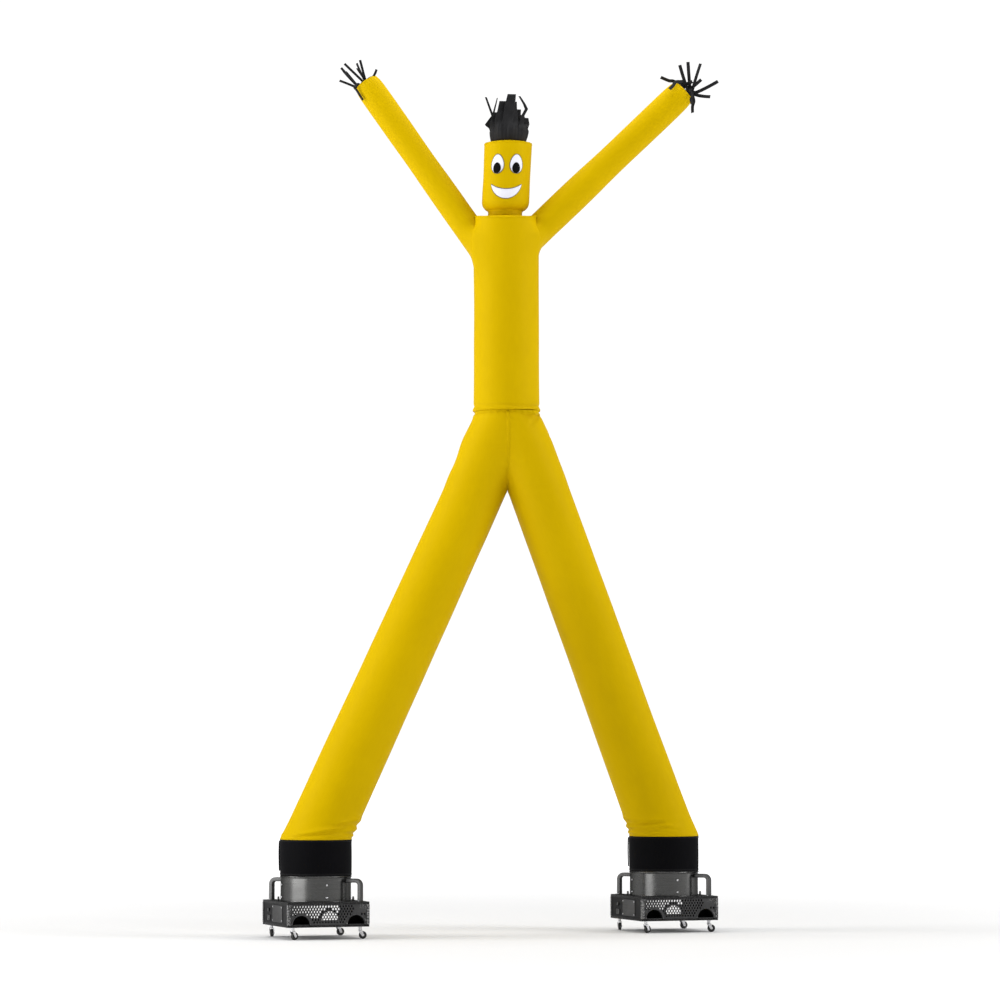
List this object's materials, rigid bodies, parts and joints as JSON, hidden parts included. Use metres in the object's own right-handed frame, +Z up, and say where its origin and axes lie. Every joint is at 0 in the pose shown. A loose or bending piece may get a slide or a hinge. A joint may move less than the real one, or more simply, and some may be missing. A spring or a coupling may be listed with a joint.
{
  "type": "inflatable air dancer on two blower bases",
  "caption": "Tall two-legged inflatable air dancer of yellow cloth tubes, arms raised, with face, hair and hand streamers, on two wheeled steel blower bases.",
  "frame": {"origin": "on the floor, half way between the two bases, under the middle of the whole object's box", "axes": "+Z up; +X from the base on the left of the view to the one on the right; -Y is the front, and the figure's face looks towards -X -Y, 20.6 degrees from -Y"},
  "size_m": [3.001, 1.1445, 5.8538],
  "materials": {
    "yellow_ripstop": "thin coated nylon, soft sheen, air-tight weave",
    "black_cuff_cloth": "black nylon, matt",
    "black_streamer_cloth": "black nylon strips, matt",
    "white_face_cloth": "white nylon, matt",
    "black_face_cloth": "black nylon, matt",
    "brushed_duct": "brushed, dark, satin",
    "handle_steel": "satin",
    "cover_steel": "grey paint, satin",
    "catch_steel": "black paint, satin",
    "coated_steel": "black powder coat, satin",
    "caster_chrome": "bright plate",
    "caster_tread": "hard black rubber"
  },
  "bodies": {
    "dancer": {"arm_left": "yellow_ripstop", "arm_right": "yellow_ripstop", "cuff_left": "black_cuff_cloth", "cuff_right": "black_cuff_cloth", "eye_left": "white_face_cloth", "eye_right": "white_face_cloth", "hair": "black_streamer_cloth", "head": "yellow_ripstop", "head_top": "yellow_ripstop", "left_catch_left": "catch_steel", "left_catch_right": "catch_steel", "left_cover": "cover_steel", "left_deck": "coated_steel", "left_duct": "brushed_duct", "left_floor_tray": "coated_steel", "left_handle_left": "handle_steel", "left_handle_right": "handle_steel", "left_panel_back": "coated_steel", "left_panel_front": "coated_steel", "left_panel_left": "coated_steel", "left_panel_right": "coated_steel", "leg_left": "yellow_ripstop", "leg_right": "yellow_ripstop", "mouth": "white_face_cloth", "pupil_left": "black_face_cloth", "pupil_right": "black_face_cloth", "right_catch_left": "catch_steel", "right_catch_right": "catch_steel", "right_cover": "cover_steel", "right_deck": "coated_steel", "right_duct": "brushed_duct", "right_floor_tray": "coated_steel", "right_handle_left": "handle_steel", "right_handle_right": "handle_steel", "right_panel_back": "coated_steel", "right_panel_front": "coated_steel", "right_panel_left": "coated_steel", "right_panel_right": "coated_steel", "shoulder_panel": "yellow_ripstop", "streamers_left": "black_streamer_cloth", "streamers_right": "black_streamer_cloth", "torso": "yellow_ripstop"},
    "fork_left_front_left": {"fork_left_front_left": "caster_chrome"},
    "wheel_left_front_left": {"wheel_left_front_left": "caster_tread"},
    "fork_left_front_right": {"fork_left_front_right": "caster_chrome"},
    "wheel_left_front_right": {"wheel_left_front_right": "caster_tread"},
    "fork_left_back_left": {"fork_left_back_left": "caster_chrome"},
    "wheel_left_back_left": {"wheel_left_back_left": "caster_tread"},
    "fork_left_back_right": {"fork_left_back_right": "caster_chrome"},
    "wheel_left_back_right": {"wheel_left_back_right": "caster_tread"},
    "fork_right_front_left": {"fork_right_front_left": "caster_chrome"},
    "wheel_right_front_left": {"wheel_right_front_left": "caster_tread"},
    "fork_right_front_right": {"fork_right_front_right": "caster_chrome"},
    "wheel_right_front_right": {"wheel_right_front_right": "caster_tread"},
    "fork_right_back_left": {"fork_right_back_left": "caster_chrome"},
    "wheel_right_back_left": {"wheel_right_back_left": "caster_tread"},
    "fork_right_back_right": {"fork_right_back_right": "caster_chrome"},
    "wheel_right_back_right": {"wheel_right_back_right": "caster_tread"}
  },
  "joints": [
    {"name": "swivel_left_front_left", "type": "hinge", "parent": "dancer", "child": "fork_left_front_left", "pos_m": [-1.4535, -0.228, 0.08], "axis": [0, 0, 1], "continuous": true},
    {"name": "roll_left_front_left", "type": "hinge", "parent": "fork_left_front_left", "child": "wheel_left_front_left", "pos_m": [-1.439, -0.22124, 0.025], "axis": [-0.4226, 0.9063, 0], "continuous": true},
    {"name": "swivel_left_front_right", "type": "hinge", "parent": "dancer", "child": "fork_left_front_right", "pos_m": [-0.9975, -0.228, 0.08], "axis": [0, 0, 1], "continuous": true},
    {"name": "roll_left_front_right", "type": "hinge", "parent": "fork_left_front_right", "child": "wheel_left_front_right", "pos_m": [-0.98185, -0.23133, 0.025], "axis": [0.2079, 0.9781, 0], "continuous": true},
    {"name": "swivel_left_back_left", "type": "hinge", "parent": "dancer", "child": "fork_left_back_left", "pos_m": [-1.4535, 0.228, 0.08], "axis": [0, 0, 1], "continuous": true},
    {"name": "roll_left_back_left", "type": "hinge", "parent": "fork_left_back_left", "child": "wheel_left_back_left", "pos_m": [-1.44599, 0.24213, 0.025], "axis": [-0.8829, 0.4695, 0], "continuous": true},
    {"name": "swivel_left_back_right", "type": "hinge", "parent": "dancer", "child": "fork_left_back_right", "pos_m": [-0.9975, 0.228, 0.08], "axis": [0, 0, 1], "continuous": true},
    {"name": "roll_left_back_right", "type": "hinge", "parent": "fork_left_back_right", "child": "wheel_left_back_right", "pos_m": [-0.98166, 0.23023, 0.025], "axis": [-0.1392, 0.9903, 0], "continuous": true},
    {"name": "swivel_right_front_left", "type": "hinge", "parent": "dancer", "child": "fork_right_front_left", "pos_m": [0.9975, -0.228, 0.08], "axis": [0, 0, 1], "continuous": true},
    {"name": "roll_right_front_left", "type": "hinge", "parent": "fork_right_front_left", "child": "wheel_right_front_left", "pos_m": [1.012, -0.22124, 0.025], "axis": [-0.4226, 0.9063, 0], "continuous": true},
    {"name": "swivel_right_front_right", "type": "hinge", "parent": "dancer", "child": "fork_right_front_right", "pos_m": [1.4535, -0.228, 0.08], "axis": [0, 0, 1], "continuous": true},
    {"name": "roll_right_front_right", "type": "hinge", "parent": "fork_right_front_right", "child": "wheel_right_front_right", "pos_m": [1.46915, -0.23133, 0.025], "axis": [0.2079, 0.9781, 0], "continuous": true},
    {"name": "swivel_right_back_left", "type": "hinge", "parent": "dancer", "child": "fork_right_back_left", "pos_m": [0.9975, 0.228, 0.08], "axis": [0, 0, 1], "continuous": true},
    {"name": "roll_right_back_left", "type": "hinge", "parent": "fork_right_back_left", "child": "wheel_right_back_left", "pos_m": [1.00501, 0.24213, 0.025], "axis": [-0.8829, 0.4695, 0], "continuous": true},
    {"name": "swivel_right_back_right", "type": "hinge", "parent": "dancer", "child": "fork_right_back_right", "pos_m": [1.4535, 0.228, 0.08], "axis": [0, 0, 1], "continuous": true},
    {"name": "roll_right_back_right", "type": "hinge", "parent": "fork_right_back_right", "child": "wheel_right_back_right", "pos_m": [1.46934, 0.23023, 0.025], "axis": [-0.1392, 0.9903, 0], "continuous": true}
  ]
}
